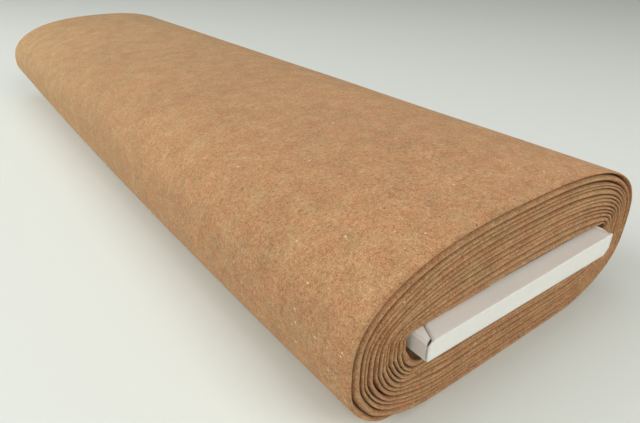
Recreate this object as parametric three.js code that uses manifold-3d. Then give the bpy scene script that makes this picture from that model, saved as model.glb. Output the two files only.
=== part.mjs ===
// A roll of upholstery cloth. The cloth is folded in half across its width and wound flat round a
// folded card board, whose two ends stand out of the roll.
//
// Millimetres. X runs across the roll and Z up. Y runs along the roll, with the folded edge of the
// cloth at the -Y end and its two open edges at the +Y end. The roll lies on its flat underside,
// and the origin is under the middle of its box.

import * as THREE from 'three';
import { mergeVertices } from 'three/addons/utils/BufferGeometryUtils.js';
import Module from 'manifold-3d';

// Driving dimensions

const CLOTH_LENGTH = 762;     // along the roll: half of a cloth that is 1524 wide
const BOARD_REACH = 11;       // how far the board stands out of the cloth at each end
const AXIS_HEIGHT = 52.7;     // height at which the roll is widest
const CARD = 1.6;             // thickness of the board's card
const PIECE_GAP = 0.3;        // clearance between two pieces

// The roll's outline at three places along it. A corner number is the exponent of a superellipse:
// 2 is an ellipse, and a larger number is squarer. The far end is smaller and rounder, and the
// middle sags out a little at its lower left.
const SECTIONS = [
  {
    along: 0, halfWidth: 127.4, rise: 58.2, drop: 56.6,
    topLeft: 2.78, topRight: 2.56, lowLeft: 2.83, lowRight: 2.88,
  },
  {
    along: 0.6, halfWidth: 123.7, rise: 55.5, drop: 55.8,
    topLeft: 2.57, topRight: 2.57, lowLeft: 3.0, lowRight: 2.77,
  },
  {
    along: 1, halfWidth: 121.2, rise: 53.6, drop: 55.7,
    topLeft: 2.44, topRight: 2.57, lowLeft: 1.9, lowRight: 2.7,
  },
];

// The turns of doubled cloth from the board outwards. thick is a turn's share of the winding, in
// millimetres at the side of the roll, and near and far tell how far its edges stand proud.
const TURNS = [
  { thick: 4.2, near: -0.6, far: 0.2 },
  { thick: 3.3, near: 0.2, far: 0.9 },
  { thick: 3.1, near: -0.2, far: 0.4 },
  { thick: 2.8, near: 0.5, far: -0.3 },
  { thick: 2.6, near: -0.5, far: 0.8 },
  { thick: 2.7, near: 0.6, far: 0.5 },
  { thick: 2.5, near: 0.9, far: -0.4 },
  { thick: 2.6, near: 0.1, far: 0.7 },
  { thick: 2.7, near: 0.7, far: 0.2 },
  { thick: 2.2, near: 0.2, far: 0.6 },
  { thick: 3.0, near: 0.8, far: -0.2 },
  { thick: 3.7, near: 0.4, far: 0.1 },
  { thick: 1.8, near: 0.9, far: 0.3 },
];
const GROOVE = 2.4;                                 // depth of the groove between two turns
const RIM = 0.8;                                    // how far the outermost fold rounds back
const TAIL_ANGLE = THREE.MathUtils.degToRad(216);   // where the cloth ends: low on the left
const TAIL_FADE = 0.035;                            // share of a turn that sags past the step
const STEPS = 64;                                   // columns round the roll
const STATIONS = [0, 0.2, 0.4, 0.6, 0.75, 0.9, 1];  // rings along the roll, as shares of it

// The board, and the slot that the cloth leaves for it. The slot is an ellipse cut off flat on its
// four sides, which rounds its corners, with a loose hollow under the board's left edge.
const BOARD = { left: -86.3, right: 88.0, bottom: 48.7, top: 60.6, fold: 1.2, softFold: 4 };
const SLOT = { left: -90.2, right: 95.5, flat: 0.4, across: 1.016, up: 2.9 };
const HOLLOW = { middle: 214, spread: 24, drop: 10, out: 0.8 };

// The board's near end: a flap folded down in front, drawn in at its right end, and a slit with a
// small open corner where the side panel tucks under the top one
const FLAP = { right: 83.2, chamfer: 4.5, round: 2.2 };
const FLAP_RISE = { lowLeft: 0.8, lowRight: -1.2, topLeft: 1, topRight: 2.2 };   // against the board
const SLANT_DEPTH = 9;        // how far back the drawn-in right corner begins
const SLIT = { backX: -74.7, frontX: -83.3, reach: 8, width: 0.9, depth: 2.4 };
const CORNER = { left: -88.0, right: -82.6, tipX: -82.3, depth: 3.3, height: 2.8 };
const CUT_MARGIN = 4;         // how far a cutting shape reaches past the board's faces
const FOLD_SEGMENTS = 3;      // flats on one rounded fold of the card
const SAME_PLACE = 1e-4;      // corners closer than this are one corner

// Materials

const clothMaterial = new THREE.MeshStandardMaterial({ color: 0xb98a5f, roughness: 0.95, metalness: 0 });
const sleeveMaterial = new THREE.MeshStandardMaterial({ color: 0xe4e0d2, roughness: 0.75, metalness: 0 });
const flapMaterial = new THREE.MeshStandardMaterial({ color: 0xe9e6da, roughness: 0.75, metalness: 0 });

// Lengthwise places, measured from the middle of the roll

const NEAR_EDGE = -CLOTH_LENGTH / 2;
const FAR_EDGE = CLOTH_LENGTH / 2;
const BOARD_NEAR = NEAR_EDGE - BOARD_REACH;
const BOARD_FAR = FAR_EDGE + BOARD_REACH;

// The outline of the roll

function power(value, exponent) {
  return Math.sign(value) * Math.abs(value) ** exponent;
}

function cornerExponent(section, angle) {
  const side = Math.cos(angle) < 0 ? 'Left' : 'Right';
  const level = Math.sin(angle) < 0 ? 'low' : 'top';
  return section[level + side];
}

function sectionPoint(section, angle) {
  const exponent = 2 / cornerExponent(section, angle);
  const reach = Math.sin(angle) < 0 ? section.drop : section.rise;
  const x = section.halfWidth * power(Math.cos(angle), exponent);
  const z = AXIS_HEIGHT + reach * power(Math.sin(angle), exponent);
  return new THREE.Vector2(x, Math.max(z, 0));
}

// How much one section counts at a place along the roll, on a smooth curve through all three
function sectionWeight(section, along) {
  const others = SECTIONS.filter((other) => other !== section);
  return others.reduce((w, other) => w * (along - other.along) / (section.along - other.along), 1);
}

function outlinePoint(angle, along) {
  const point = new THREE.Vector2();
  SECTIONS.forEach((section) => {
    point.addScaledVector(sectionPoint(section, angle), sectionWeight(section, along));
  });
  return new THREE.Vector2(point.x, Math.max(point.y, 0));
}

function slotPoint(angle) {
  const halfWidth = (SLOT.right - SLOT.left) / 2;
  const halfHeight = (BOARD.top - BOARD.bottom) / 2 + SLOT.flat;
  const x = halfWidth * SLOT.across * Math.cos(angle);
  const z = halfHeight * SLOT.up * Math.sin(angle);
  const turned = THREE.MathUtils.euclideanModulo(THREE.MathUtils.radToDeg(angle), 360);
  const nearness = Math.max(0, 1 - Math.abs(turned - HOLLOW.middle) / HOLLOW.spread);
  const loose = THREE.MathUtils.smoothstep(nearness, 0, 1);
  const centre = new THREE.Vector2(SLOT.left + SLOT.right, BOARD.top + BOARD.bottom).divideScalar(2);
  return new THREE.Vector2(
    centre.x + THREE.MathUtils.clamp(x, -halfWidth, halfWidth) - HOLLOW.out * loose,
    centre.y + THREE.MathUtils.clamp(z, -halfHeight, halfHeight) - HOLLOW.drop * loose,
  );
}

// The winding. A place on it is counted in turns from the board, and around is the share of a turn
// that has passed since the cloth's end.

const totalThickness = TURNS.reduce((sum, turn) => sum + turn.thick, 0);
const WHOLE_TURNS = TURNS.length;
const OUTER_RING = 2 * WHOLE_TURNS - 2;

function windingShare(turns) {
  let thickness = 0;
  TURNS.forEach((turn, i) => {
    thickness += turn.thick * THREE.MathUtils.clamp(turns - i, 0, 1);
  });
  return thickness / totalThickness;
}

function settled(around) {
  return THREE.MathUtils.smoothstep(around, 0, TAIL_FADE);
}

function outerShare(around) {
  return THREE.MathUtils.lerp(windingShare(WHOLE_TURNS - 1), 1, settled(around));
}

// How far the outermost edge lies back from the end of the roll
function rimDepth(around) {
  return THREE.MathUtils.lerp(GROOVE, RIM, settled(around));
}

function windingPoint(turns, around, along) {
  const angle = TAIL_ANGLE + 2 * Math.PI * around;
  const outermost = windingShare(WHOLE_TURNS - 1 + around);
  const share = outerShare(around) * windingShare(turns) / outermost;
  return slotPoint(angle).lerp(outlinePoint(angle, along), share);
}

// How proud the cloth's edge stands, blended from one turn to the next
function edgeHeight(turns, end) {
  const place = THREE.MathUtils.clamp(turns - 0.5, 0, WHOLE_TURNS - 1);
  const inner = Math.floor(place);
  const outer = Math.min(inner + 1, WHOLE_TURNS - 1);
  return THREE.MathUtils.lerp(TURNS[inner][end], TURNS[outer][end], place - inner);
}

// One point of an end face. An even ring runs in the groove between two turns and an odd ring along
// the crest of a turn. Rings -2 and -1 close the spiral against the slot.
function edgePoint(ring, around, end) {
  const turns = Math.max(ring / 2 + around, 0);
  const isCrest = ring % 2 !== 0;
  const grown = Math.min(2 * turns, 1);
  const crest = GROOVE + edgeHeight(turns, end);
  const valley = ring === OUTER_RING ? rimDepth(around) : GROOVE;
  const height = isCrest ? crest * grown - GROOVE : -valley;
  const flat = windingPoint(turns, around, end === 'near' ? 0 : 1);
  const y = end === 'near' ? NEAR_EDGE - height : FAR_EDGE + height;
  return new THREE.Vector3(flat.x, y, flat.y);
}

// A closed mesh built up from triangles whose equal corners are shared
class Skin {
  constructor() {
    this.index = new Map();
    this.positions = [];
    this.faces = [];
  }

  corner(point) {
    const key = point.toArray().map((value) => value.toFixed(3)).join(' ');
    if (!this.index.has(key)) {
      this.index.set(key, this.positions.length / 3);
      this.positions.push(point.x, point.y, point.z);
    }
    return this.index.get(key);
  }

  triangle(a, b, c) {
    const corners = [this.corner(a), this.corner(b), this.corner(c)];
    if (new Set(corners).size === 3) {
      this.faces.push(...corners);
    }
  }

  quad(a, b, c, d) {
    this.triangle(a, b, c);
    this.triangle(a, c, d);
  }

  geometry() {
    const geometry = new THREE.BufferGeometry();
    geometry.setAttribute('position', new THREE.Float32BufferAttribute(this.positions, 3));
    geometry.setIndex(this.faces);
    geometry.computeVertexNormals();
    return geometry;
  }
}

function addEndFace(skin, end) {
  for (let ring = -2; ring < OUTER_RING; ring += 1) {
    for (let step = 0; step < STEPS; step += 1) {
      const here = step / STEPS;
      const next = (step + 1) / STEPS;
      const inner = [edgePoint(ring, here, end), edgePoint(ring, next, end)];
      const outer = [edgePoint(ring + 1, here, end), edgePoint(ring + 1, next, end)];
      if (end === 'near') {
        skin.quad(inner[0], outer[0], outer[1], inner[1]);
      } else {
        skin.quad(inner[0], inner[1], outer[1], outer[0]);
      }
    }
  }
}

function bodyPoint(turns, around, along, setback) {
  const flat = windingPoint(turns, around, along);
  const y = THREE.MathUtils.lerp(NEAR_EDGE + setback, FAR_EDGE - setback, along);
  return new THREE.Vector3(flat.x, y, flat.y);
}

function outerPoint(around, along) {
  return bodyPoint(WHOLE_TURNS - 1 + around, around, along, rimDepth(around));
}

function slotEdge(around, along) {
  return bodyPoint(0, around, along, GROOVE);
}

function addOutside(skin) {
  for (let i = 0; i + 1 < STATIONS.length; i += 1) {
    const [from, to] = [STATIONS[i], STATIONS[i + 1]];
    for (let step = 0; step < STEPS; step += 1) {
      const here = step / STEPS;
      const next = (step + 1) / STEPS;
      skin.quad(outerPoint(here, from), outerPoint(here, to), outerPoint(next, to), outerPoint(next, from));
    }
    skin.quad(outerPoint(0, from), outerPoint(1, from), outerPoint(1, to), outerPoint(0, to));
  }
}

// The small triangle that closes each end of the step where the cloth ends
function addTailEnds(skin) {
  skin.triangle(outerPoint(0, 0), edgePoint(OUTER_RING - 1, 1, 'near'), outerPoint(1, 0));
  skin.triangle(outerPoint(0, 1), outerPoint(1, 1), edgePoint(OUTER_RING - 1, 1, 'far'));
}

function addSlotWall(skin) {
  for (let step = 0; step < STEPS; step += 1) {
    const here = step / STEPS;
    const next = (step + 1) / STEPS;
    skin.quad(slotEdge(here, 0), slotEdge(next, 0), slotEdge(next, 1), slotEdge(here, 1));
  }
}

function clothRoll() {
  const skin = new Skin();
  addEndFace(skin, 'near');
  addEndFace(skin, 'far');
  addOutside(skin);
  addTailEnds(skin);
  addSlotWall(skin);
  return new THREE.Mesh(skin.geometry(), clothMaterial);
}

// Cutting one closed solid with another

const wasm = await Module();
wasm.setup();

function toSolid(geometry) {
  const bare = geometry.clone();
  bare.deleteAttribute('normal');
  bare.deleteAttribute('uv');
  const merged = mergeVertices(bare, SAME_PLACE);
  return new wasm.Manifold(new wasm.Mesh({
    numProp: 3,
    vertProperties: new Float32Array(merged.attributes.position.array),
    triVerts: new Uint32Array(merged.index.array),
  }));
}

function toGeometry(solid) {
  const { vertProperties, triVerts } = solid.getMesh();
  const geometry = new THREE.BufferGeometry();
  geometry.setAttribute('position', new THREE.BufferAttribute(new Float32Array(vertProperties), 3));
  geometry.setIndex(new THREE.BufferAttribute(new Uint32Array(triVerts), 1));
  geometry.computeVertexNormals();
  return geometry;
}

// A shape drawn in X and Z, drawn out along Y
function alongRoll(shape, from, to) {
  const options = { depth: to - from, bevelEnabled: false, curveSegments: FOLD_SEGMENTS };
  return new THREE.ExtrudeGeometry(shape, options).rotateX(Math.PI / 2).translate(0, to, 0);
}

// A shape drawn in X and Y, drawn out along Z
function upwards(points, from, to) {
  const shape = new THREE.Shape(points);
  return new THREE.ExtrudeGeometry(shape, { depth: to - from, bevelEnabled: false }).translate(0, 0, from);
}

// A closed outline through the given corners, each cut back by its own rounding
function roundedOutline(corners, path = new THREE.Shape()) {
  corners.forEach((corner, i) => {
    const before = corners[(i + corners.length - 1) % corners.length];
    const after = corners[(i + 1) % corners.length];
    const here = new THREE.Vector2(corner.x, corner.z);
    const back = new THREE.Vector2(before.x, before.z).sub(here).setLength(corner.round).add(here);
    const ahead = new THREE.Vector2(after.x, after.z).sub(here).setLength(corner.round).add(here);
    if (i === 0) {
      path.moveTo(back.x, back.y);
    } else {
      path.lineTo(back.x, back.y);
    }
    path.quadraticCurveTo(here.x, here.y, ahead.x, ahead.y);
  });
  path.closePath();
  return path;
}

// The four corners of the board's section, softly folded at the upper left
function boardCorners(inset) {
  return [
    { x: BOARD.left + inset, z: BOARD.bottom + inset, round: BOARD.fold },
    { x: BOARD.right - inset, z: BOARD.bottom + inset, round: BOARD.fold },
    { x: BOARD.right - inset, z: BOARD.top - inset, round: BOARD.fold },
    { x: BOARD.left + inset, z: BOARD.top - inset, round: BOARD.softFold - inset },
  ];
}

// What the drawn-in right corner of the near end takes away
function slantCut() {
  const outside = BOARD.right + CUT_MARGIN;
  return upwards([
    new THREE.Vector2(FLAP.right, BOARD_NEAR - CUT_MARGIN),
    new THREE.Vector2(outside, BOARD_NEAR - CUT_MARGIN),
    new THREE.Vector2(outside, BOARD_NEAR + SLANT_DEPTH),
    new THREE.Vector2(BOARD.right - CARD / 2, BOARD_NEAR + SLANT_DEPTH),
    new THREE.Vector2(FLAP.right, BOARD_NEAR),
  ], BOARD.bottom - CUT_MARGIN, BOARD.top + CUT_MARGIN);
}

function slitCut() {
  const half = SLIT.width / 2;
  const backY = NEAR_EDGE + SLIT.reach;
  return upwards([
    new THREE.Vector2(SLIT.frontX - half, BOARD_NEAR),
    new THREE.Vector2(SLIT.frontX + half, BOARD_NEAR),
    new THREE.Vector2(SLIT.backX + half, backY),
    new THREE.Vector2(SLIT.backX - half, backY),
  ], BOARD.top - SLIT.depth, BOARD.top + CUT_MARGIN);
}

function cornerCut() {
  return upwards([
    new THREE.Vector2(CORNER.left, BOARD_NEAR - CUT_MARGIN),
    new THREE.Vector2(CORNER.right, BOARD_NEAR - CUT_MARGIN),
    new THREE.Vector2(CORNER.right, BOARD_NEAR),
    new THREE.Vector2(CORNER.tipX, BOARD_NEAR + CORNER.depth),
    new THREE.Vector2(CORNER.left, BOARD_NEAR + CARD),
  ], BOARD.top - CORNER.height, BOARD.top + CUT_MARGIN);
}

function boardSleeve() {
  const outline = roundedOutline(boardCorners(0));
  outline.holes.push(roundedOutline(boardCorners(CARD), new THREE.Path()));
  const lid = CARD + PIECE_GAP;
  const tube = toSolid(alongRoll(outline, BOARD_NEAR + lid, BOARD_FAR - lid));
  const cuts = [slantCut(), slitCut(), cornerCut()].map(toSolid);
  const shaped = cuts.reduce((solid, cut) => solid.subtract(cut), tube);
  return new THREE.Mesh(toGeometry(shaped), sleeveMaterial);
}

function boardEndNear() {
  const outline = roundedOutline([
    { x: BOARD.left, z: BOARD.bottom + FLAP_RISE.lowLeft, round: BOARD.fold },
    { x: FLAP.right - FLAP.chamfer, z: BOARD.bottom + FLAP_RISE.lowRight, round: BOARD.fold },
    { x: FLAP.right, z: BOARD.bottom + FLAP_RISE.lowRight + FLAP.chamfer, round: BOARD.fold },
    { x: FLAP.right, z: BOARD.top + FLAP_RISE.topRight, round: FLAP.round },
    { x: BOARD.left, z: BOARD.top + FLAP_RISE.topLeft, round: BOARD.fold },
  ]);
  const plate = toSolid(alongRoll(outline, BOARD_NEAR, BOARD_NEAR + CARD));
  return new THREE.Mesh(toGeometry(plate.subtract(toSolid(cornerCut()))), flapMaterial);
}

function boardEndFar() {
  const outline = roundedOutline(boardCorners(0));
  return new THREE.Mesh(alongRoll(outline, BOARD_FAR - CARD, BOARD_FAR), flapMaterial);
}

// The whole roll

const pieces = {
  cloth_roll: clothRoll(),
  board_sleeve: boardSleeve(),
  board_end_near: boardEndNear(),
  board_end_far: boardEndFar(),
};

const roll = new THREE.Group();
Object.entries(pieces).forEach(([name, mesh]) => {
  mesh.name = name;
  roll.add(mesh);
});

export default roll;
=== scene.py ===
# %% [markdown]
# # A roll of upholstery cloth on its board
# This lesson builds one roll of tan, felted upholstery cloth. The cloth is folded in half across
# its width and wound flat, thirteen times, round a folded card board. A roll like this is almost
# all surface: what makes it look real is the spiral of soft folds on its end, the fine hairy face
# of the cloth, and the crisp white card in the middle. We start from the exact solids, keep their
# sizes, and build finer shapes round them.

# %% Load the exact solids
import math

import bpy
import numpy as np
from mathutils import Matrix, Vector


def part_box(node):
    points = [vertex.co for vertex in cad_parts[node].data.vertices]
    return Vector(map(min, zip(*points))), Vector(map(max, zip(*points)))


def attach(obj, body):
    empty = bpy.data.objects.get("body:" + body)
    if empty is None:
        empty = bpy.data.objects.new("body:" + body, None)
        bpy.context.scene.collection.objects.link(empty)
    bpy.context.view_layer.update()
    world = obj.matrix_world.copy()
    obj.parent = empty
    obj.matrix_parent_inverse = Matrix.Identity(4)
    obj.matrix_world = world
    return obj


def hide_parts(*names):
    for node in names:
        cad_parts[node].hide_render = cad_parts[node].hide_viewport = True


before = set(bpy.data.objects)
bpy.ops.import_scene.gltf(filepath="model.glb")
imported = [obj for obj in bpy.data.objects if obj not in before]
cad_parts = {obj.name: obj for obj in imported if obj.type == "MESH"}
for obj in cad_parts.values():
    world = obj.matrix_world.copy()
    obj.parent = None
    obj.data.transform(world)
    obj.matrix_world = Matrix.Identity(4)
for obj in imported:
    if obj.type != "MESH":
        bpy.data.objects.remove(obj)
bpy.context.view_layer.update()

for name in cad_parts:
    low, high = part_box(name)
    print("solid", name, "size in mm:", [round(1000 * s, 1) for s in high - low])

# %% [markdown]
# ## The camera
# The picture was taken close up with a slightly wide lens, so the near end looks large and the far
# end small. We could guess such a camera by eye, but the outline of the roll fixes it much better:
# its place, its heading and its tilt were solved so that the outline of the solids falls on the
# outline in the picture.

# %% Place the camera
CAMERA_PLACE = (-0.24905, -0.52125, 0.24437)
HEADING = 0.6428      # radians from the roll's length towards its right side
DOWNWARD = 0.5013     # radians below the level
LENS, FILM_WIDTH = 30.89, 36      # mm
CLOSEST = 0.01        # metres: the camera sees nothing nearer than this

lens = bpy.data.cameras.new("camera")
lens.lens, lens.sensor_width, lens.clip_start = LENS, FILM_WIDTH, CLOSEST
camera = bpy.data.objects.new("camera", lens)
camera.location = CAMERA_PLACE
camera.rotation_euler = (math.pi / 2 - DOWNWARD, 0, -HEADING)
bpy.context.scene.collection.objects.link(camera)
bpy.context.scene.camera = camera
bpy.context.scene.view_settings.view_transform = "Standard"      # colours stay as we set them
print("camera at", CAMERA_PLACE, "with a lens of", LENS, "mm")

# %% [markdown]
# ## The outline of the roll
# Seen from its end, the roll is a soft, flattened oval. We could trace it with a curve, but a
# formula is easier to adjust. A superellipse is like an ellipse, with an exponent that makes it
# squarer. The four corners have their own exponents, because the roll sags to its lower left. The
# far end is a little smaller and rounder, so three sections are blended along the length.
# From here on we measure in millimetres, as a cutter would, and shrink to metres at the end.

# %% Outline of the cloth
AXIS_HEIGHT = 52.7      # the middle of the oval over the floor
SECTIONS = [   # along, half width, rise, drop, exponents: top left, top right, low left, low right
    (0.0, 127.4, 58.2, 56.6, 2.78, 2.56, 2.83, 2.88),
    (0.6, 123.7, 55.5, 55.8, 2.57, 2.57, 3.00, 2.77),
    (1.0, 121.2, 53.6, 55.7, 2.44, 2.57, 1.90, 2.70),
]
LIE_DEPTH, LIE_SOFTNESS = 3.9, 2.6      # how far the floor flattens the underside, how softly


def section_point(section, angle):
    """A point of one section, at that angle round its middle."""
    _, half_width, rise, drop, top_left, top_right, low_left, low_right = section
    c, s = np.cos(angle), np.sin(angle)
    low, top = np.where(c < 0, low_left, low_right), np.where(c < 0, top_left, top_right)
    exponent = np.where(s < 0, low, top)
    x = half_width * np.sign(c) * np.abs(c) ** (2 / exponent)
    z = AXIS_HEIGHT + np.where(s < 0, drop, rise) * np.sign(s) * np.abs(s) ** (2 / exponent)
    return x, z


def outline(angle, along):
    """A point of the outside: along is 0 at the near end and 1 at the far end."""
    x, z = 0, 0
    for section in SECTIONS:
        others = [other[0] for other in SECTIONS if other is not section]
        weight = (along - others[0]) * (along - others[1])
        weight = weight / ((section[0] - others[0]) * (section[0] - others[1]))
        section_x, section_z = section_point(section, angle)
        x, z = x + weight * section_x, z + weight * np.maximum(section_z, -LIE_DEPTH)
    lies = (z + np.sqrt(z**2 + LIE_SOFTNESS)) / 2      # rounds the corner at the floor
    sunk = (np.sqrt(LIE_DEPTH**2 + LIE_SOFTNESS) - LIE_DEPTH) / 2
    return x, np.maximum(lies - sunk, 0)


for along in (0.0, 1.0):
    x, z = outline(np.linspace(0, 2 * np.pi, 721), along)
    print("outline at", along, "is", round(np.ptp(x), 1), "mm wide,", round(np.ptp(z), 1), "high")

# %% [markdown]
# ## The slot for the board
# The first turn of the cloth lies round the board, but not tightly. At the lower left it stands
# away from the card and leaves a dark hollow. A plain box would fit the board better, but cloth
# can't bend to a sharp corner. So the slot is an ellipse that is cut off at the board's faces, and
# a smooth step lets it drop at the hollow.

# %% Slot for the board
BOARD_BOTTOM, BOARD_TOP = 48.7, 60.6
SLOT = dict(left=-90.2, right=95.5, flat=0.4, across=1.016, up=2.9)
HOLLOW = dict(middle=214, spread=24, drop=10, out=0.8)      # degrees, degrees, mm, mm


def smooth_step(x):
    """Rises from 0 to 1 without a corner, while x goes from 0 to 1."""
    x = np.clip(x, 0, 1)
    return x * x * (3 - 2 * x)


def slot(angle):
    """A point of the hole in the middle of the winding."""
    half_width = (SLOT["right"] - SLOT["left"]) / 2
    half_height = (BOARD_TOP - BOARD_BOTTOM) / 2 + SLOT["flat"]
    nearness = 1 - np.abs(np.degrees(angle) % 360 - HOLLOW["middle"]) / HOLLOW["spread"]
    loose = smooth_step(nearness)
    x = np.clip(half_width * SLOT["across"] * np.cos(angle), -half_width, half_width)
    z = np.clip(half_height * SLOT["up"] * np.sin(angle), -half_height, half_height)
    x = (SLOT["left"] + SLOT["right"]) / 2 + x - HOLLOW["out"] * loose
    return x, (BOARD_TOP + BOARD_BOTTOM) / 2 + z - HOLLOW["drop"] * loose


x, z = slot(np.linspace(0, 2 * np.pi, 721))
print("slot is", round(np.ptp(x), 1), "mm wide and", round(np.ptp(z), 1), "mm high")

# %% [markdown]
# ## How the turns lie
# The gaps between the turns aren't evenly spaced: the cloth is wound tighter on the right and
# looser over the board, and a few turns have slipped. So the table below gives the place of each
# gap, as a share of the way from the board to the outside, in ten directions. Because each gap
# runs on into the next one after a full turn, the whole table is one long curve.

# %% Gaps between the turns
TURNS = 13
START = 216      # degrees: the direction where the cloth ends, and where the turns are counted from
DIRECTIONS = [216, 234, 259, 302, 378, 400, 475, 520, 546, 562]
GAPS = [   # the innermost gap first
    (0.02, 0.05, 0.06, 0.08, 0.09, 0.13, 0.11, 0.07, 0.05, 0.12),
    (0.165, 0.19, 0.18, 0.18, 0.20, 0.25, 0.19, 0.14, 0.135, 0.18),
    (0.22, 0.28, 0.27, 0.28, 0.29, 0.33, 0.285, 0.20, 0.218, 0.24),
    (0.29, 0.37, 0.345, 0.36, 0.35, 0.384, 0.34, 0.27, 0.297, 0.304),
    (0.35, 0.436, 0.41, 0.44, 0.42, 0.452, 0.415, 0.34, 0.35, 0.365),
    (0.42, 0.498, 0.475, 0.516, 0.49, 0.53, 0.48, 0.40, 0.42, 0.445),
    (0.485, 0.588, 0.568, 0.59, 0.56, 0.59, 0.54, 0.45, 0.49, 0.508),
    (0.55, 0.654, 0.635, 0.66, 0.63, 0.646, 0.60, 0.50, 0.563, 0.58),
    (0.64, 0.724, 0.71, 0.71, 0.69, 0.735, 0.69, 0.59, 0.665, 0.668),
    (0.70, 0.782, 0.768, 0.765, 0.75, 0.785, 0.75, 0.67, 0.73, 0.722),
    (0.755, 0.83, 0.825, 0.83, 0.80, 0.83, 0.81, 0.745, 0.79, 0.79),
    (0.84, 0.878, 0.887, 0.898, 0.91, 0.95, 0.92, 0.876, 0.94, 0.905),
]
TAIL_SHARE = 0.945    # the last gap, where the cloth's end begins to lie over it
TAIL_LENGTH = 0.062   # share of a turn in which the pressed end of the cloth thins out


def in_turns(degrees):
    """A direction as a share of a turn after the start."""
    return (degrees - START) / 360


knots = [(turn + in_turns(direction), share)
         for turn, row in enumerate(GAPS) for direction, share in zip(DIRECTIONS, row)]
knot_turns = np.array([place for place, _ in knots] + [TURNS - 1.0])
knot_shares = np.array([share for _, share in knots] + [TAIL_SHARE])
knot_slopes = np.gradient(knot_shares, knot_turns)
print("the spiral of the gaps passes", len(knot_turns), "measured places in", TURNS, "turns")

# %% [markdown]
# ## Reading the spiral
# Straight lines between the measured places would give the turns corners, so we read the table
# with a cubic curve that keeps its slope at each place. Then any point of the winding lies between
# the slot and the outline, at the share that the curve gives.

# %% Read the spiral
def share_at(turns):
    """Share of the way from the slot to the outline, that many turns from the board."""
    t = np.clip(turns, 0, TURNS - 1)
    i = np.clip(np.searchsorted(knot_turns, t, side="right") - 1, 0, len(knot_turns) - 2)
    span = knot_turns[i + 1] - knot_turns[i]
    u = (t - knot_turns[i]) / span
    share = (
        knot_shares[i] * (2 * u**3 - 3 * u**2 + 1)
        + knot_shares[i + 1] * (3 * u**2 - 2 * u**3)
        + knot_slopes[i] * span * (u**3 - 2 * u**2 + u)
        + knot_slopes[i + 1] * span * (u**3 - u**2)
    )
    settled = TAIL_SHARE + (1 - TAIL_SHARE) * smooth_step((turns - TURNS + 1) / TAIL_LENGTH)
    share = np.where(turns > TURNS - 1, settled, share)
    return np.where(turns <= 0, 0, share)


def winding_point(ring, around, along):
    """A point of the winding. The ring counts turns at the start, and a fraction of a ring lies
    between two gaps; around is a share of a turn after the start."""
    angle = math.radians(START) + 2 * np.pi * around
    (slot_x, slot_z), (outer_x, outer_z) = slot(angle), outline(angle, along)
    turn = np.floor(ring)
    share = share_at(turn + around)
    share = share + (share_at(turn + 1 + around) - share) * (ring - turn)
    return slot_x + (outer_x - slot_x) * share, slot_z + (outer_z - slot_z) * share


_, heights = winding_point(np.arange(-1.0, TURNS), in_turns(450), 0.0)
print("thickness of each turn over the board, in mm:", np.diff(heights).round(1))

# %% [markdown]
# ## Columns round the roll
# The mesh needs small faces where the cloth bends sharply and can have longer ones on the flat top.
# Equal steps of angle give the opposite, so we walk along one turn in tiny steps, add up the
# distance, and place the columns at equal distances.

# %% Space the columns evenly
COLUMNS = 330
TINY_STEPS = 4000


def even_columns(count):
    """Shares of a turn that lie at equal distances along a turn near the outside."""
    fine = np.linspace(0, 1, TINY_STEPS + 1)
    x, z = winding_point(np.full_like(fine, TURNS - 3), fine, 0)
    walked = np.concatenate([[0], np.cumsum(np.hypot(np.diff(x), np.diff(z)))])
    print("a turn of", round(walked[-1]), "mm, a column every", round(walked[-1] / count, 1), "mm")
    return np.interp(np.linspace(0, walked[-1], count + 1), walked, fine)


around = even_columns(COLUMNS)

# %% [markdown]
# ## The folded edge at the near end
# Each turn is doubled cloth, so what shows at the near end is its fold: a soft rounded ridge, with
# a dark gap to the next turn. A separate strip for each turn would be simple, but then the strips
# don't press on each other. Here the whole end is one spiral grid instead. First each fold gets a
# level: some stand out further than others, and small waves stand for the slips of a winder's hand.

# %% Levels of the folds
CLOTH_LENGTH = 762.0      # half the width of the cloth, because it is folded
NEAR, FAR = -CLOTH_LENGTH / 2, CLOTH_LENGTH / 2
FOLD_LEVELS = [-0.6, 0.2, -0.2, 0.5, -0.5, 0.6, 0.9, 0.1, 0.7, 0.2, 0.8, 0.4, 0.9]
LEVEL_SCALE, SLIP = 0.6, 0.25      # mm


def waves(x, seed, wavelength, count=5):
    """A gentle random wave, the same on every run, between about -1 and 1."""
    rng = np.random.default_rng(seed)
    total = np.zeros_like(np.asarray(x, float))
    for _ in range(count):
        length = wavelength * rng.uniform(0.6, 1.7)
        phase = np.asarray(x) / length + rng.uniform()
        total += np.sin(2 * np.pi * phase) * rng.uniform(0.5, 1)
    return total / math.sqrt(count)


def along_turns(values, turns):
    """Reads a list that has one value for each turn, without jumps."""
    place = np.clip(turns - 0.5, 0, len(values) - 1)
    return np.interp(place, np.arange(len(values)), values)


def fold_level(turns):
    """How far a fold stands out, with small slips along it."""
    return LEVEL_SCALE * along_turns(FOLD_LEVELS, turns) + SLIP * waves(turns, 11, 0.36)


levels = fold_level(np.linspace(0, TURNS, 500))
print("folds stand out from", levels.min().round(2), "to", levels.max().round(2), "mm")

# %% [markdown]
# ## Gaps that differ
# Deep gaps are what the eye reads first, and on a real roll no two are alike. A table says over
# which stretch a gap is deeper and wider, or shallower and tighter, than the others. Soft windows
# let each stretch begin and end without a step.

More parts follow.
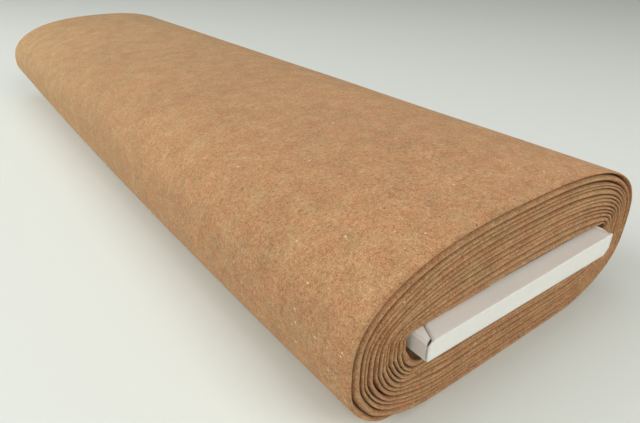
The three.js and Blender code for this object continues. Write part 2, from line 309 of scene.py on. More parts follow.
# %% Depth of the gaps
GAP_DEPTH, LEAST_DEPTH = 2.4, 0.8              # mm
GAP_OPENING, LEAST_OPENING = 0.045, 0.006      # share of a turn that stands open beside a gap
WINDOW_EDGE = 0.1                              # turns in which a stretch begins or ends
DEEP_GAPS = [   # gap, from and to (degrees), extra depth, extra opening
    (11, 216, 550, 4.2, 0.06),
    (10, 360, 440, 3.0, 0.04),
    (9, 380, 430, -1.2, -0.03),
    (8, 500, 580, 1.2, 0.02),
    (7, 430, 580, 2.8, 0.04),
    (6, 410, 520, -1.4, -0.035),
    (5, 400, 520, -1.4, -0.035),
    (5, 216, 330, 1.4, 0.02),
    (4, 420, 530, 2.2, 0.03),
    (3, 430, 510, -0.8, -0.03),
    (3, 530, 570, 1.0, 0.015),
    (2, 510, 576, 1.4, 0.03),
]


def gap_shape(turns):
    """Depth and opening of the gap, that many turns from the board."""
    depth = np.full_like(turns, GAP_DEPTH) + 0.3 * waves(turns, 5, 0.4)
    opening = np.full_like(turns, GAP_OPENING) + 0.012 * waves(turns, 6, 0.3)
    for gap, begin, end, deeper, wider in DEEP_GAPS:
        first, last = gap + in_turns(begin), gap + in_turns(end)
        window = smooth_step((turns - first) / WINDOW_EDGE + 0.5)
        window = window * smooth_step((last - turns) / WINDOW_EDGE + 0.5)
        depth, opening = depth + deeper * window, opening + wider * window
    depth = np.maximum(depth, LEAST_DEPTH) * np.clip(turns / 0.4, 0, 1)
    return depth, np.maximum(opening, LEAST_OPENING)


depths, _ = gap_shape(np.linspace(0.5, TURNS, 500))
print("gaps are", depths.min().round(1), "to", depths.max().round(1), "mm deep")

# %% [markdown]
# ## From gap to fold
# Across one turn the height rises from a gap as a quarter circle, stays level over the crest, and
# falls into the next gap. The outermost fold has nothing outside it, so it rounds off to the
# outside of the roll, and the cloth's own end thins out over it. The same function also says how
# deep in a gap each point lies, which the finish of the cloth turns into painted shade later.

# %% Height of the near end
RIM_DEPTH = 3.4        # how far round the outermost fold is
SHADE_POWER = 1.2      # how quickly the gaps get dark


def rim_height(across, around, crest, tail):
    """Height of the outermost fold and of the cloth's end, which is pressed thin."""
    ended = smooth_step(around / TAIL_LENGTH)
    beneath = fold_level(TURNS - 1.5 + around)
    low = np.where(tail & (across < 0.5), beneath, crest) - RIM_DEPTH
    low = np.where(tail & (across >= 0.5), low + (beneath - crest) * ended, low)
    arch = np.sqrt(np.clip(1 - (2 * across - 1) ** 2, 0, 1))
    return low + (crest - low) * arch * np.where(tail, 1 - ended, 1)


def fold_height(ring, around):
    """Height of the near end over its plane, and how deep in a gap that is, as painted shade."""
    turn = np.floor(ring)
    across = ring - turn
    crest = fold_level(turn + 0.5 + around)
    nearer = np.where(across < 0.5, turn + around, turn + 1 + around)
    depth, opening = gap_shape(nearer)
    bottom = (fold_level(nearer - 0.5) + fold_level(nearer + 0.5)) / 2 - depth
    half = (2 * np.minimum(across, 1 - across) - 2 * opening) / (1 - 2 * opening)
    rounded = np.sqrt(1 - (1 - np.clip(half, 0, 1)) ** 2)
    height = bottom + (crest - bottom) * rounded
    # painted shade: 1 at the bottom of a gap, none on the crest
    shade = (1 - rounded) ** SHADE_POWER

    tail = turn >= TURNS - 1
    rim = tail | ((turn == TURNS - 2) & (across >= 0.5))
    height = np.where(rim, rim_height(across, around, crest, tail), height)
    ended = smooth_step(around / TAIL_LENGTH)
    shade = np.where(rim, shade * (1 - ended) * (around < 0.5), shade)
    at_board = turn + around + across <= 0
    return np.where(at_board, -GAP_DEPTH, height), np.where(at_board, 1, shade)


height, _ = fold_height(np.linspace(6, 7, 11), np.zeros(11))
print("height across one turn, in mm:", height.round(1))

# %% [markdown]
# ## One grid for a spiral
# A ring of points round the board closes on itself, but a turn of cloth doesn't: after one turn it
# meets its own next turn. So the grid's last column takes the point numbers of the first column,
# one turn further out. Faces that would have no width are dropped.

# %% Grid of one end
def grid_faces(index):
    """The faces between neighbouring rows and columns of a grid of point numbers."""
    corners = [index[:-1, :-1], index[1:, :-1], index[1:, 1:], index[:-1, 1:]]
    faces = [list(dict.fromkeys(quad)) for quad in np.stack(corners, -1).reshape(-1, 4).tolist()]
    return [face for face in faces if len(face) > 2]


def end_grid(across, around, along, height_at):
    """Points of one end of the roll, their numbers, and how deep in a gap each lies."""
    rings = np.concatenate([turn + across for turn in range(-1, TURNS)] + [[TURNS]])
    ring_grid, around_grid = np.meshgrid(rings, around, indexing="ij")
    x, z = winding_point(ring_grid, around_grid, along)
    height, shade = height_at(np.minimum(ring_grid, TURNS - 1e-9), around_grid)
    index = np.arange(x.size).reshape(x.shape)
    per_turn = len(across)
    index[:-per_turn, -1] = index[per_turn:, 0]      # the grid meets its own next turn
    tail_row, tail_over = TURNS * per_turn, np.argmax(around >= TAIL_LENGTH)
    index[tail_row + 1:, tail_over:] = index[tail_row, tail_over:]      # the cloth has ended
    return np.stack([x, height, z], -1), index, shade


FOLD_ACROSS = np.array([0, .04, .075, .12, .19, .3, .42, .5, .58, .7, .81, .88, .925, .96])
near_points, near_index, near_shade = end_grid(FOLD_ACROSS, around, 0.0, fold_height)
near_points[..., 1] = NEAR - near_points[..., 1]
wound_faces = grid_faces(near_index[:, ::-1])
print("the near end has", near_index.shape[0], "rows of", near_index.shape[1], "points")

# %% [markdown]
# ## The outside of the roll
# The outermost turn covers the whole roll, from the near fold to the open edges at the far end. It
# isn't a perfect tube: a hand run over it feels long, shallow waves. A tube with a wavy bump in its
# finish would look flat at the edges, so the waves are real. The same columns continue from the end
# grid, so the face and the outside are one skin without a seam. The cloth's own end shows as a fine
# line along the underside.

# %% Build the outside
STATIONS = np.concatenate([      # mm from the near end, closer together at both ends
    [0.8, 2, 4, 7, 11, 16, 22, 30], np.linspace(38, 754, 92), [758.5, 760.5, 761.2]])
ONCE_ROUND = 640                                         # mm
SWELL_HEIGHT, SWELL_ALONG, SWELL_ACROSS, SWELL_SLANT = 0.35, 260, 170, 40      # mm
GROOVE_DEPTH, GROOVE_WIDTH = 0.7, 0.004                  # mm, share of a turn
GROOVE_START, SWELL_START, SWELL_ABOVE = 8, 25, 6        # mm from the near end, over the floor

wound_points = [near_points.reshape(-1, 3)]
rim_y = wound_points[0][near_index[-1], 1]


def outside_row(station):
    """One row of points round the roll, that many mm from the near end."""
    x, z = winding_point(np.full_like(around, TURNS), around, station / CLOTH_LENGTH)
    swell = SWELL_HEIGHT * waves(station + SWELL_SLANT * around, 21, SWELL_ALONG)
    swell = swell * waves(ONCE_ROUND * around, 22, SWELL_ACROSS) * np.sin(np.pi * around)
    groove = np.exp(-((around - TAIL_LENGTH - GROOVE_WIDTH) / GROOVE_WIDTH) ** 2)
    swell = swell - GROOVE_DEPTH * groove * min(1, station / GROOVE_START)
    calm = np.clip(z / SWELL_ABOVE, 0, 1) * min(1, station / SWELL_START)
    out = np.stack([x, z - AXIS_HEIGHT], -1)
    out = out / np.linalg.norm(out, axis=-1, keepdims=True)
    x, z = x + out[:, 0] * swell * calm, np.maximum(z + out[:, 1] * swell * calm, 0)
    y = np.maximum(np.full_like(x, NEAR + station), rim_y + station * 0.6)
    return np.stack([x, y, z], -1)


def add_row(row):
    """Adds a row of points to the skin and gives their numbers."""
    first = sum(len(part) for part in wound_points)
    wound_points.append(row)
    return np.arange(first, first + len(row))


rows = [near_index[-1]]
for station in STATIONS:
    numbers = add_row(outside_row(station))
    rows.append(np.append(numbers[:-1], numbers[0]))
wound_faces += grid_faces(np.array(rows)[:, ::-1])
print("the outside adds", len(STATIONS), "rows of", COLUMNS, "faces")

# %% [markdown]
# ## The wall of the slot
# Where the first turn stands away from the board one can look into the roll, so the skin must
# continue there, or one would see a black hole. A few rows are enough: they repeat the innermost
# row of the near end, further and further in.

# %% Build the wall of the slot
WALL_STATIONS = [8, 25, 80, 380, 700, CLOTH_LENGTH - GAP_DEPTH]

wall = [near_index[0]]
for station in WALL_STATIONS:
    wall.append(add_row(near_points[0] + [0, station - GAP_DEPTH, 0]))
wound_faces += grid_faces(np.array(wall))
wound_points = np.concatenate(wound_points)
print("the whole skin has", len(wound_points), "points and", len(wound_faces), "faces")

# %% [markdown]
# ## The open edges at the far end
# At the far end the doubled cloth is open, so every turn shows two cut edges. They are flat, a
# little fuzzy, and never quite level with each other. The grid works as before, now with two low
# ridges for each turn.

# %% Height of the far end
OPEN_LEVELS = [0.2, 0.9, 0.4, -0.3, 0.8, 0.5, -0.4, 0.7, 0.2, 0.6, -0.2, 0.1, 0.3]
EDGE_WAVE, EDGE_CROWN, EDGE_GAP, EDGE_RIM = 0.7, 0.35, 1.4, -0.8      # mm
BEVEL_FROM, BEVEL_SLOPE = 0.75, 6.5      # where an edge begins to round off, and how steeply


def edge_height(ring, around):
    """Height of the cut edges over the far plane, and how deep in a gap that is, as painted shade.
    """
    turn = np.floor(ring)
    part = ring - turn
    second = part >= 0.5      # the second of the two layers of a turn
    level = along_turns(OPEN_LEVELS, turn + 0.5 + around)
    wave = EDGE_WAVE * waves(turn + around + 0.37 * second, 31, 0.5)
    level = level + wave * np.where(second, -1, 1)
    off_crest = np.abs(4 * (part % 0.5) - 1)
    bevel = np.where(off_crest > BEVEL_FROM, (off_crest - BEVEL_FROM) * BEVEL_SLOPE, 0)
    gap = np.where((part < 0.02) | (part > 0.98), EDGE_GAP, 0)
    height = level - (EDGE_CROWN * off_crest**2 + bevel) - gap
    last = (turn >= TURNS - 1) | ((turn == TURNS - 2) & (part > 0.9))
    height = np.where(last, EDGE_RIM, height)
    # painted shade: darker where the cut edges round off, darkest in the gaps
    shade = np.clip((off_crest - 0.6) / 0.4, 0, 1) * np.where(last, 0, 0.7)
    shade = shade + np.where(gap > 0, 0.3, 0)
    at_board = turn + part + around <= 0
    return np.where(at_board, -GAP_DEPTH, height), np.where(at_board, 1, shade)


EDGE_ACROSS = np.array([0, .04, .1, .25, .4, .46, .5, .54, .6, .75, .9, .96])
far_points, far_index, far_shade = end_grid(EDGE_ACROSS, around[::2], 1.0, edge_height)
far_points[..., 1] += FAR
far_faces = grid_faces(far_index)
print("the far end has", far_index.shape[0], "rows of", far_index.shape[1], "points")

# %% [markdown]
# ## Building a finish from nodes
# A finish in Blender is a tree of nodes that feed each other and end in a shader. The editor shows
# it as boxes and wires; in a script two helpers make it as readable. We start with the cloth: felt
# is rough and hardly shines, but its hairs scatter a little light at the edges, like velvet. The
# shader has sheen for that, so no special light is needed.

# %% Start the finish of the cloth
def fill(tree, socket, value):
    """Wires a socket to another one, or sets its value."""
    if isinstance(value, bpy.types.NodeSocket):
        tree.links.new(value, socket)
    else:
        socket.default_value = value


def add_node(tree, kind, inputs=None, **settings):
    node = tree.nodes.new(kind)
    for name, value in settings.items():
        setattr(node, name, value)
    for name, value in (inputs or {}).items():
        fill(tree, node.inputs[name], value)
    return node


def new_material(name, roughness, specular=None):
    """A new material, its tree, and the shader where the tree ends."""
    material = bpy.data.materials.new(name)
    material.use_nodes = True
    shader = material.node_tree.nodes["Principled BSDF"]
    shader.inputs["Roughness"].default_value = roughness
    if specular is not None:
        shader.inputs["Specular IOR Level"].default_value = specular
    print("material", name, "has roughness", roughness)
    return material, material.node_tree, shader


cloth, cloth_tree, cloth_shader = new_material("cloth_felted", 0.92, 0.12)
cloth_shader.inputs["Sheen Weight"].default_value = 0.1
cloth_shader.inputs["Sheen Roughness"].default_value = 0.5
cloth_shader.inputs["Sheen Tint"].default_value = (1.0, 0.82, 0.62, 1)

# %% [markdown]
# ## Noise in real millimetres
# A picture that is laid over the mesh needs a flat map of it, and stretches where the map does.
# Noise that fills space needs none: each point of the cloth takes the noise of its own place. One
# noise has the size of single fibres, and a coarser one the size of tufts.

# %% Noise of fibres and tufts
FIBRE_SIZE, TUFT_SIZE = 0.82, 2.6      # mm


def own_place(tree):
    """The place of each point, in metres."""
    return add_node(tree, "ShaderNodeTexCoord").outputs["Object"]


def noise(tree, size_mm, detail=2.0, roughness=0.5, distortion=0.0):
    """Cloudy noise with clouds of that size, from 0 to 1."""
    return add_node(tree, "ShaderNodeTexNoise", {
        "Vector": own_place(tree), "Scale": 1000 / size_mm,
        "Detail": detail, "Roughness": roughness, "Distortion": distortion}).outputs["Fac"]


fibre_noise = noise(cloth_tree, FIBRE_SIZE, 2.0, 0.55, 0.5)
tuft_noise = noise(cloth_tree, TUFT_SIZE)
print("noise of", FIBRE_SIZE, "mm for fibres and of", TUFT_SIZE, "mm for tufts")

# %% [markdown]
# ## The colour of the cloth
# Felted wool has no weave to see. Its colour is a blend of dyed fibres, some pinkish and some
# yellowish, so close up it is a fine speckle, and one even colour would look like rubber. The fine
# noise chooses between dark and pale fibres, and a broader one between pink and yellow ones. Far
# along the roll the speckle gets fainter and the colour a little yellower: painted sheen, which
# greys the far cloth that is seen at a grazing angle.

# %% Colour of the fibres
DARK_PINK, DARK_YELLOW = (0.280, 0.118, 0.046, 1), (0.262, 0.150, 0.058, 1)
PALE_PINK, PALE_YELLOW = (0.688, 0.378, 0.190, 1), (0.690, 0.476, 0.248, 1)
BLOTCH_SIZE = 11      # mm
# painted sheen: the speckle's contrast at the near end and at the far end
NEAR_CONTRAST, FAR_CONTRAST = 0.98, 0.60


def calculate(tree, operation, a, b):
    return add_node(tree, "ShaderNodeMath", {0: a, 1: b}, operation=operation).outputs[0]


def stretch(tree, value, low, high, to_low=0.0, to_high=1.0):
    """Maps the values from low to high to another range."""
    limits = {"From Min": low, "From Max": high, "To Min": to_low, "To Max": to_high}
    return add_node(tree, "ShaderNodeMapRange", {"Value": value, **limits}).outputs["Result"]


def blend(tree, amount, a, b, mode="MIX"):
    """Mixes two colours."""
    node = add_node(tree, "ShaderNodeMix", data_type="RGBA", blend_type=mode)
    for number, value in ((0, amount), (6, a), (7, b)):      # the sockets for colours
        fill(tree, node.inputs[number], value)
    return node.outputs[2]


def fibre_colour(tree, fibre, tuft):
    """Blend of dyed fibres, from the noise of single fibres and of tufts; painted sheen far along.
    """
    fine = calculate(tree, "ADD", fibre, calculate(tree, "MULTIPLY", tuft, 0.45))
    fine = stretch(tree, fine, 0.45, 1.0)
    place = add_node(tree, "ShaderNodeSeparateXYZ", {0: own_place(tree)})
    along = stretch(tree, place.outputs["Y"], -0.38, 0.38)
    blotch = stretch(tree, noise(tree, BLOTCH_SIZE), 0.36, 0.64, 0.0, 0.5)
    # painted sheen: the hue moves towards yellow along the roll, on top of the random blotches
    hue = calculate(tree, "ADD", blotch, stretch(tree, along, 0, 1, 0.0, 0.5))
    dark = blend(tree, hue, DARK_PINK, DARK_YELLOW)
    pale = blend(tree, hue, PALE_PINK, PALE_YELLOW)
    # painted sheen: the speckle fades along the roll
    contrast = stretch(tree, along, 0, 1, NEAR_CONTRAST, FAR_CONTRAST)
    fine = calculate(tree, "MULTIPLY", fine, contrast)
    fine = calculate(tree, "ADD", fine, stretch(tree, contrast, 0, 1, 0.5, 0))
    return blend(tree, fine, dark, pale)


colour = fibre_colour(cloth_tree, fibre_noise, tuft_noise)
print("with the blend of fibres the tree has", len(cloth_tree.nodes), "nodes")

# %% [markdown]
# ## Uneven dyeing and painted shade in the gaps
# Cloth takes its dye a little unevenly, so the blend is multiplied with soft, broad clouds. The
# gaps between the turns get painted shade here too. Light alone would leave them too pale, because
# real hairs close them off, and the mesh has no such hairs.

# %% Tone of the cloth
CLOUD_SIZE, BROAD_SIZE = 14, 140      # mm
# painted shade: the colour at the bottom of a gap is multiplied by this
GAP_SHADE_TONE = 0.30                       # how dark the bottom of a gap is


def dye_and_gap_shade(tree):
    """A grey to multiply the colour with: uneven dye, and painted shade in the gaps."""
    cloud = stretch(tree, noise(tree, CLOUD_SIZE, 3.0), 0.3, 0.7, 0.91, 1.09)
    broad = stretch(tree, noise(tree, BROAD_SIZE, 1.0), 0.3, 0.7, 0.96, 1.04)
    tone = calculate(tree, "MULTIPLY", cloud, broad)
    # painted shade in the gaps, from the gap_shade value of each point
    gap = add_node(tree, "ShaderNodeAttribute", attribute_name="gap_shade").outputs["Fac"]
    tone = calculate(tree, "MULTIPLY", tone, stretch(tree, gap, 0, 1, 1, GAP_SHADE_TONE))
    grey = add_node(tree, "ShaderNodeCombineColor", {"Red": tone, "Green": tone, "Blue": tone})
    return grey.outputs["Color"]


colour = blend(cloth_tree, 1.0, colour, dye_and_gap_shade(cloth_tree), "MULTIPLY")
print("gaps get down to", GAP_SHADE_TONE, "of the colour of the cloth")

# %% [markdown]
# ## Neps, flecks and the rough surface
# Here and there a pale nep, which is a tiny knot of wool, or a dark fleck breaks the blend. They
# are few, but without them the cloth looks printed. They come from cells that fill space, a spot in
# some of them. The bump takes the same noises as the colour, so that light and colour agree.

# %% Neps, flecks and bump
NEP_COLOUR, FLECK_COLOUR = (0.72, 0.54, 0.35, 1), (0.20, 0.09, 0.04, 1)


def specks(tree, cell_mm, radius, share):
    """Scattered spots: 1 inside a spot, on that share of the cells."""
    cells = add_node(tree, "ShaderNodeTexVoronoi", {
        "Vector": own_place(tree), "Scale": 1000 / cell_mm, "Randomness": 1.0})
    spot = stretch(tree, cells.outputs["Distance"], radius, radius * 0.6)
    pick = add_node(tree, "ShaderNodeSeparateColor", {"Color": cells.outputs["Color"]})
    chosen = calculate(tree, "LESS_THAN", pick.outputs["Red"], share)
    return calculate(tree, "MULTIPLY", spot, chosen)


def add_bump(tree, shader, height, strength, distance):
    """Roughens the surface by a noise, at most that distance in metres."""
    bump = add_node(tree, "ShaderNodeBump", {
        "Height": height, "Strength": strength, "Distance": distance})
    tree.links.new(bump.outputs["Normal"], shader.inputs["Normal"])


colour = blend(cloth_tree, specks(cloth_tree, 8.0, 0.11, 0.26), colour, NEP_COLOUR)
colour = blend(cloth_tree, specks(cloth_tree, 7.0, 0.10, 0.24), colour, FLECK_COLOUR)
cloth_tree.links.new(colour, cloth_shader.inputs["Base Color"])
surface = calculate(cloth_tree, "ADD", fibre_noise, tuft_noise)
add_bump(cloth_tree, cloth_shader, surface, 0.5, 0.0005)
print("the finish of the cloth has", len(cloth_tree.nodes), "nodes")

# %% [markdown]
# ## The two pieces of cloth
# Now the tables of points and faces become pieces. Each point also carries how deep in a gap it
# lies. The finish looks that up under the name gap_shade and turns it into painted shade; a painted
# map could do the same, but a value on each point needs no picture. The skin of the roll takes
# the place of the solid cloth, and the open edges close its far end.

# %% Make the pieces of cloth
def new_piece(name, points, faces, material):
    """A mesh object from points in millimetres."""
    mesh = bpy.data.meshes.new(name)
    mesh.from_pydata((np.asarray(points) * 0.001).tolist(), [], [list(f) for f in faces])
    mesh.validate()
    mesh.polygons.foreach_set("use_smooth", [True] * len(mesh.polygons))
    mesh.materials.append(material)
    piece = bpy.data.objects.new(name, mesh)
    bpy.context.scene.collection.objects.link(piece)
    print(name, "has", sum(len(p.vertices) - 2 for p in mesh.polygons), "triangles")
    return piece


wound_cloth = new_piece("wound_cloth", wound_points, wound_faces, cloth)
open_edges = new_piece("open_edges", far_points.reshape(-1, 3), far_faces, cloth)
for piece, values in ((wound_cloth, near_shade), (open_edges, far_shade)):
    shades = np.zeros(len(piece.data.vertices))
    shades[:values.size] = values.ravel()
    piece.data.attributes.new("gap_shade", "FLOAT", "POINT").data.foreach_set("value", shades)
    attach(piece, "root")
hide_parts("cloth_roll")

# %% [markdown]
# ## Where loose fibres stand
# Felt has no clean outline: short hairs stand off it, and the light catches them. Hair particles
# would be one way, but they are lost when a model is exported. So real, flat little fibres are
# strewn over the faces that look away from the middle of the roll, more of them on larger faces,
# and more near the camera. A face looks to the side from which its corners run anticlockwise, and
# here lies a fault: the two grids of cloth are wound the other way, so their faces look inwards.
# So most fibres stand on the slot's wall, some on the steep sides of the folds, and the broad
# outside of the roll has none.

# %% Choose places for the fibres
OUTSIDE_FIBRES, FAR_END_FIBRES = 42000, 5000
FADE_FROM, FADE_OVER, FADE_LEAST, FADE_POWER = 330, 700, 0.12, 1.5
END_ZONE, END_EXTRA = 374, 2.0      # mm from the middle of the roll, how many more there


def fibre_places(piece, count, seed):
    """Random places on the faces that look away from the middle, the directions that they look
    in, and the generator of random numbers to go on with."""
    mesh = piece.data
    mesh.calc_loop_triangles()
    corners = np.zeros(len(mesh.loop_triangles) * 3, int)
    mesh.loop_triangles.foreach_get("vertices", corners)
    places = np.zeros(len(mesh.vertices) * 3)
    mesh.vertices.foreach_get("co", places)
    a, b, c = (places.reshape(-1, 3) * 1000)[corners.reshape(-1, 3)].transpose(1, 0, 2)
    normal = np.cross(b - a, c - a)
    area = np.linalg.norm(normal, axis=1)
    normal = normal / np.maximum(area, 1e-9)[:, None]
    middle = (a + b + c) / 3
    outward = (normal * (middle - [0, 0, AXIS_HEIGHT])).sum(1) > 0
    nearness = np.clip((FADE_FROM - middle[:, 1]) / FADE_OVER, FADE_LEAST, 1) ** FADE_POWER
    weight = area * outward * nearness * (1 + END_EXTRA * (np.abs(middle[:, 1]) > END_ZONE))
    rng = np.random.default_rng(seed)
    pick = rng.choice(len(area), count, p=weight / weight.sum())
    u, v = rng.uniform(size=(2, count))
    flip = u + v > 1
    u, v = np.where(flip, 1 - u, u)[:, None], np.where(flip, 1 - v, v)[:, None]
    print(piece.name, "has", int(outward.sum()), "faces that look outwards, for", count, "fibres")
    return a[pick] + u * (b - a)[pick] + v * (c - a)[pick], normal[pick], rng


outside_places = fibre_places(wound_cloth, OUTSIDE_FIBRES, 7)
far_end_places = fibre_places(open_edges, FAR_END_FIBRES, 8)

# %% [markdown]
# ## The shape of a fibre
# Brushed wool leans over, so each fibre first rises a little and then bends to the side. Two flat
# faces, end to end, are enough for a hair that is finer than a picture point.

# %% Shape the fibres
FIBRE_LENGTH, FIBRE_RISE = (0.8, 2.6), (0.15, 0.75)      # mm, share of the length
FIBRE_WIDTHS = (0.055, 0.045, 0.02)                      # half widths: root, middle, tip
ROOT_SINK, ABOVE_FLOOR = 0.15, 0.05                      # mm


def fibre_points(root, up, rng):
    """Six points for each fibre: a pair at its root, one at its middle and one at its tip."""
    count = len(root)
    lean = np.cross(up, rng.normal(size=(count, 3)))
    lean /= np.linalg.norm(lean, axis=1)[:, None]
    length = rng.uniform(*FIBRE_LENGTH, (count, 1))
    rise = rng.uniform(*FIBRE_RISE, (count, 1))
    turn = np.cross(up, lean) * rng.uniform(-0.5, 0.5, (count, 1))
    spine = [
        root - ROOT_SINK * up,
        root + length * (0.5 * lean + rise * 0.45 * up),
        root + length * (0.95 * lean + turn + rise * 0.55 * up),
    ]
    side = np.cross(lean, up)
    pairs = []
    for place, width in zip(spine, FIBRE_WIDTHS):
        pairs += [place - side * width, place + side * width]
    points = np.stack(pairs, 1).reshape(-1, 3)
    points[:, 2] = np.maximum(points[:, 2], ABOVE_FLOOR)
    return points


outside_hairs, far_end_hairs = fibre_points(*outside_places), fibre_points(*far_end_places)
reach = np.linalg.norm(outside_hairs[5::6] - outside_hairs[::6], axis=1)
print("a fibre is about", reach.mean().round(1), "mm long, at most", reach.max().round(1))

# %% [markdown]
# ## Strewing the fibres
# The fibres take the colours of the cloth, a little paler because light passes through them. They
# need no speckle of their own, only a slow change from fibre to fibre.

# %% Strew the fibres
DARK_FIBRE, PALE_FIBRE = (0.45, 0.25, 0.115, 1), (0.72, 0.48, 0.27, 1)


def strew_fibres(name, points, material):
    """One piece with all those fibres: six points and two faces for each."""
    first = np.arange(len(points) // 6)[:, None] * 6
    faces = np.concatenate([first + [0, 1, 3, 2], first + [2, 3, 5, 4]])
    fibres = new_piece(name, points, faces, material)
    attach(fibres, "root")


hairs, hair_tree, hair_shader = new_material("cloth_fibres", 0.8, 0.2)
change = stretch(hair_tree, noise(hair_tree, 3), 0.3, 0.7)
hair_colour = blend(hair_tree, change, DARK_FIBRE, PALE_FIBRE)
hair_tree.links.new(hair_colour, hair_shader.inputs["Base Color"])
strew_fibres("fibres_outside", outside_hairs, hairs)
strew_fibres("fibres_far_end", far_end_hairs, hairs)

# %% [markdown]
# ## The card board
# The board is plain white card, scored and folded. Its long sleeve, with the slit where the side
# tucks in, and the closure of its far end are already right in the solids. So they keep those
# meshes and only get a finish. Real card is never one flat white: it has a faint cloudy grain, and
# it is slightly grey where hands have held it.

# %% Card
CARD_CLOUD, CARD_WAVE, CARD_GRAIN = 22, 6, 0.7      # mm
GRAIN_COLOUR = (0.62, 0.60, 0.54, 1)


def card_material(name, colour, tint):
    """Card that changes softly between two colours, with a fine grain."""
    material, tree, shader = new_material(name, 0.62, 0.35)
    base = blend(tree, stretch(tree, noise(tree, CARD_CLOUD, 3.0), 0.3, 0.7), colour, tint)
    grain = noise(tree, CARD_GRAIN, 3.0, 0.6)
    base = blend(tree, stretch(tree, grain, 0.62, 0.78, 0.0, 0.25), base, GRAIN_COLOUR)
    tree.links.new(base, shader.inputs["Base Color"])
    fine = calculate(tree, "MULTIPLY", grain, 0.3)
    surface = calculate(tree, "ADD", noise(tree, CARD_WAVE), fine)
    add_bump(tree, shader, surface, 0.25, 0.0004)
    return material


sleeve_card = card_material("card_sleeve", (0.90, 0.88, 0.825, 1), (0.86, 0.84, 0.79, 1))
flap_card = card_material("card_flap", (0.89, 0.875, 0.805, 1), (0.85, 0.835, 0.775, 1))
for name, card in (("board_sleeve", sleeve_card), ("board_end_far", flap_card)):
    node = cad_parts[name]
    node.data.materials.clear()
    node.data.materials.append(card)

# %% [markdown]
# ## The fold over the board's top
# At the near end the top of the board bends down over the front in one piece. Card doesn't fold to
# a knife edge: it bulges up a little before the fold, and it stands higher at the loose right side.
# The solid has that front as a flat flap. A bevel on it would round it evenly, so here it becomes
# one bent strip instead, built row by row. The first rows lie on the top.

# %% Rows over the top
BOARD_LEFT, FLAP_RIGHT = -86, 83.2
RISE_LEFT, RISE_RIGHT = 0.9, 1.7      # how far the fold bulges over the board's top
LIFT = 0.14                           # the strip lies that much over the solid
SLIT = [373, 390.1, 391.9], [-74.1, -82.8, -82.9]      # distance along, left edge of the strip
TOP_ROWS = [   # distance along the roll, share of the fold's rise
    (-374, 0.0), (-379, 0.0), (-382, 0.08), (-384.5, 0.22), (-386.5, 0.38), (-388, 0.54),
    (-389.2, 0.70), (-390.1, 0.83), (-390.7, 0.92), (-391.2, 0.99), (-391.55, 1.0),
    (-391.8, 0.93), (-391.92, 0.80),
]
strip_across = np.linspace(0, 1, 61)


def top_row(place, share):
    """Points at that distance along the roll, lifted by that share of the fold's rise."""
    left = np.interp(-place, *SLIT)
    x = left + (FLAP_RIGHT - left) * strip_across
    rise = np.interp(x, [BOARD_LEFT, FLAP_RIGHT], [RISE_LEFT, RISE_RIGHT])
    rise = rise + 0.12 * waves(x, 41, 60)
    return np.stack([x, np.full_like(x, place), BOARD_TOP + LIFT + (rise - LIFT) * share], -1)


strip_rows = [top_row(*row) for row in TOP_ROWS]
print("the fold bulges up to", (strip_rows[-3][:, 2].max() - BOARD_TOP).round(1), "mm")

# %% [markdown]
# ## The front of the board
# The other rows run down the front. The strip gets narrower on the right, where a corner is cut
# off, and wider on the left, where the side tucks in behind it. A faint bow keeps it from looking
# like a sheet of plastic. At the end the strip gets the thickness of card with a Solidify modifier.

# %% Rows down the front
BOTTOM_LEFT, BOTTOM_RIGHT = 49.5, 47.5
CHAMFER = 4.5                       # the cut corner at the lower right
FOLD_EDGE = 0.7                     # share of the rise that is left where the front begins
TUCK_EDGE, TUCK_OUT, TUCK_DEPTH, TUCK_POWER = -82.9, 3.4, 2.8, 0.7
FRONT_PLANE, BOW = -391.95, 0.12
FRONT_ROWS = [0.0, 0.04, 0.1, 0.18, 0.3, 0.45, 0.6, 0.7, 0.78, 0.86, 0.93, 1.0]
CARD_THICKNESS = 0.0011             # metres


def front_row(down):
    """Points at that share of the way down the front."""
    top_left, top_right = BOARD_TOP + RISE_LEFT * FOLD_EDGE, BOARD_TOP + RISE_RIGHT * FOLD_EDGE
    below_fold = down * (top_left - BOTTOM_LEFT)
    above_bottom = (1 - down) * (top_right - BOTTOM_RIGHT)
    left = TUCK_EDGE - TUCK_OUT * min(1, below_fold / TUCK_DEPTH) ** TUCK_POWER
    right = FLAP_RIGHT - max(0, CHAMFER - above_bottom)
    x = left + (right - left) * strip_across
    side = np.clip((x - BOARD_LEFT) / (FLAP_RIGHT - BOARD_LEFT), 0, 1)
    top = top_left + (top_right - top_left) * side
    bottom = BOTTOM_LEFT + (BOTTOM_RIGHT - BOTTOM_LEFT) * side
    bow = BOW * np.sin(np.pi * down) * waves(x, 42, 90)
    return np.stack([x, FRONT_PLANE + np.abs(bow), top + (bottom - top) * down], -1)


strip = np.array(strip_rows + [front_row(down) for down in FRONT_ROWS])
strip_faces = grid_faces(np.arange(strip.size // 3).reshape(strip.shape[:2]))
front = new_piece("board_front", strip.reshape(-1, 3), strip_faces, flap_card)
card = front.modifiers.new("card thickness", "SOLIDIFY")
card.thickness, card.offset = CARD_THICKNESS, -1
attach(front, "root")
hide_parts("board_end_near")

# %% [markdown]
# ## The floor
# The roll lies on plain, pale paper with a faint green tint. Paper that curves up behind the roll
# would hide the horizon, but from the camera's place a flat face fills the picture. It lies a
# little below the roll, so that the two surfaces never compete for the same place.

# %% Floor
FLOOR_HALF, FLOOR_DROP = 6.0, 0.0002      # metres
FLOOR_COLOUR = (0.78, 0.81, 0.745, 1)

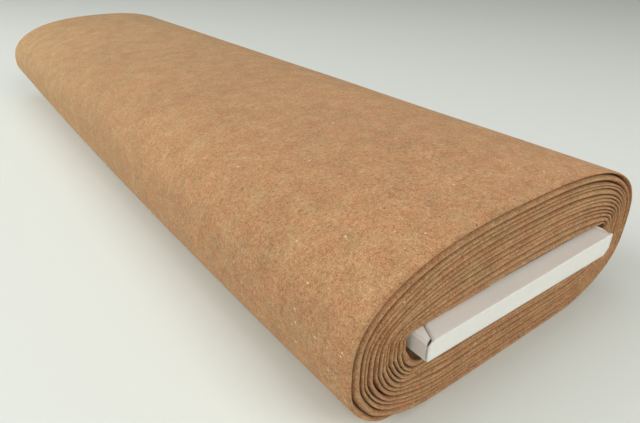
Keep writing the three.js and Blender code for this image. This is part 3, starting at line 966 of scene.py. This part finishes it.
paper, _, paper_shader = new_material("floor_paper", 0.9)
paper_shader.inputs["Base Color"].default_value = FLOOR_COLOUR
floor_mesh = bpy.data.meshes.new("floor")
floor_corners = [(-1, -1), (1, -1), (1, 1), (-1, 1)]
floor_mesh.from_pydata(
    [(x * FLOOR_HALF, y * FLOOR_HALF, 0) for x, y in floor_corners], [], [(0, 1, 2, 3)])
floor_mesh.materials.append(paper)
floor = bpy.data.objects.new("floor", floor_mesh)
floor.location.z = -FLOOR_DROP
bpy.context.scene.collection.objects.link(floor)
print("floor", 2 * FLOOR_HALF, "m wide")

# %% [markdown]
# ## The light
# The picture has soft light from the left, from behind and from the near side, and no hard shadow.
# A single lamp or a sun would draw a sharp edge, so large square lamps stand for windows. How
# bright each one is was found by lighting the scene with one lamp at a time and then mixing them,
# until the top, the sides and the floor had the tones of the picture.

# %% Light
LAMPS = [   # name, place, what it shines at, size (all in metres), power in watts
    ("window_left", (-1.5, 0.2, 1.5), (0, 0, 0), 1.6, 14.2),
    ("window_behind", (-1.4, 1.2, 1.3), (-0.2, 0.2, 0), 1.2, 17.5),
    ("lamp_near", (0.1, -1.7, 1.3), (0, -0.3, 0), 1.0, 16.8),
    ("lamp_above", (0, 0.1, 2.0), (0, 0, 0), 1.8, 6.5),
]
ROOM_LIGHT = 0.235      # light that comes from everywhere

for name, place, aim, size, power in LAMPS:
    lamp = bpy.data.lights.new(name, "AREA")
    lamp.shape, lamp.size, lamp.energy = "SQUARE", size, power
    stand = bpy.data.objects.new(name, lamp)
    stand.location = place
    stand.rotation_euler = (Vector(aim) - Vector(place)).to_track_quat("-Z", "Y").to_euler()
    bpy.context.scene.collection.objects.link(stand)

world = bpy.data.worlds.new("studio")
bpy.context.scene.world = world
world.use_nodes = True
world.node_tree.nodes["Background"].inputs["Color"].default_value = (1, 1, 1, 1)
world.node_tree.nodes["Background"].inputs["Strength"].default_value = ROOM_LIGHT
print(len(LAMPS), "lamps with", sum(lamp[-1] for lamp in LAMPS), "watts in all")
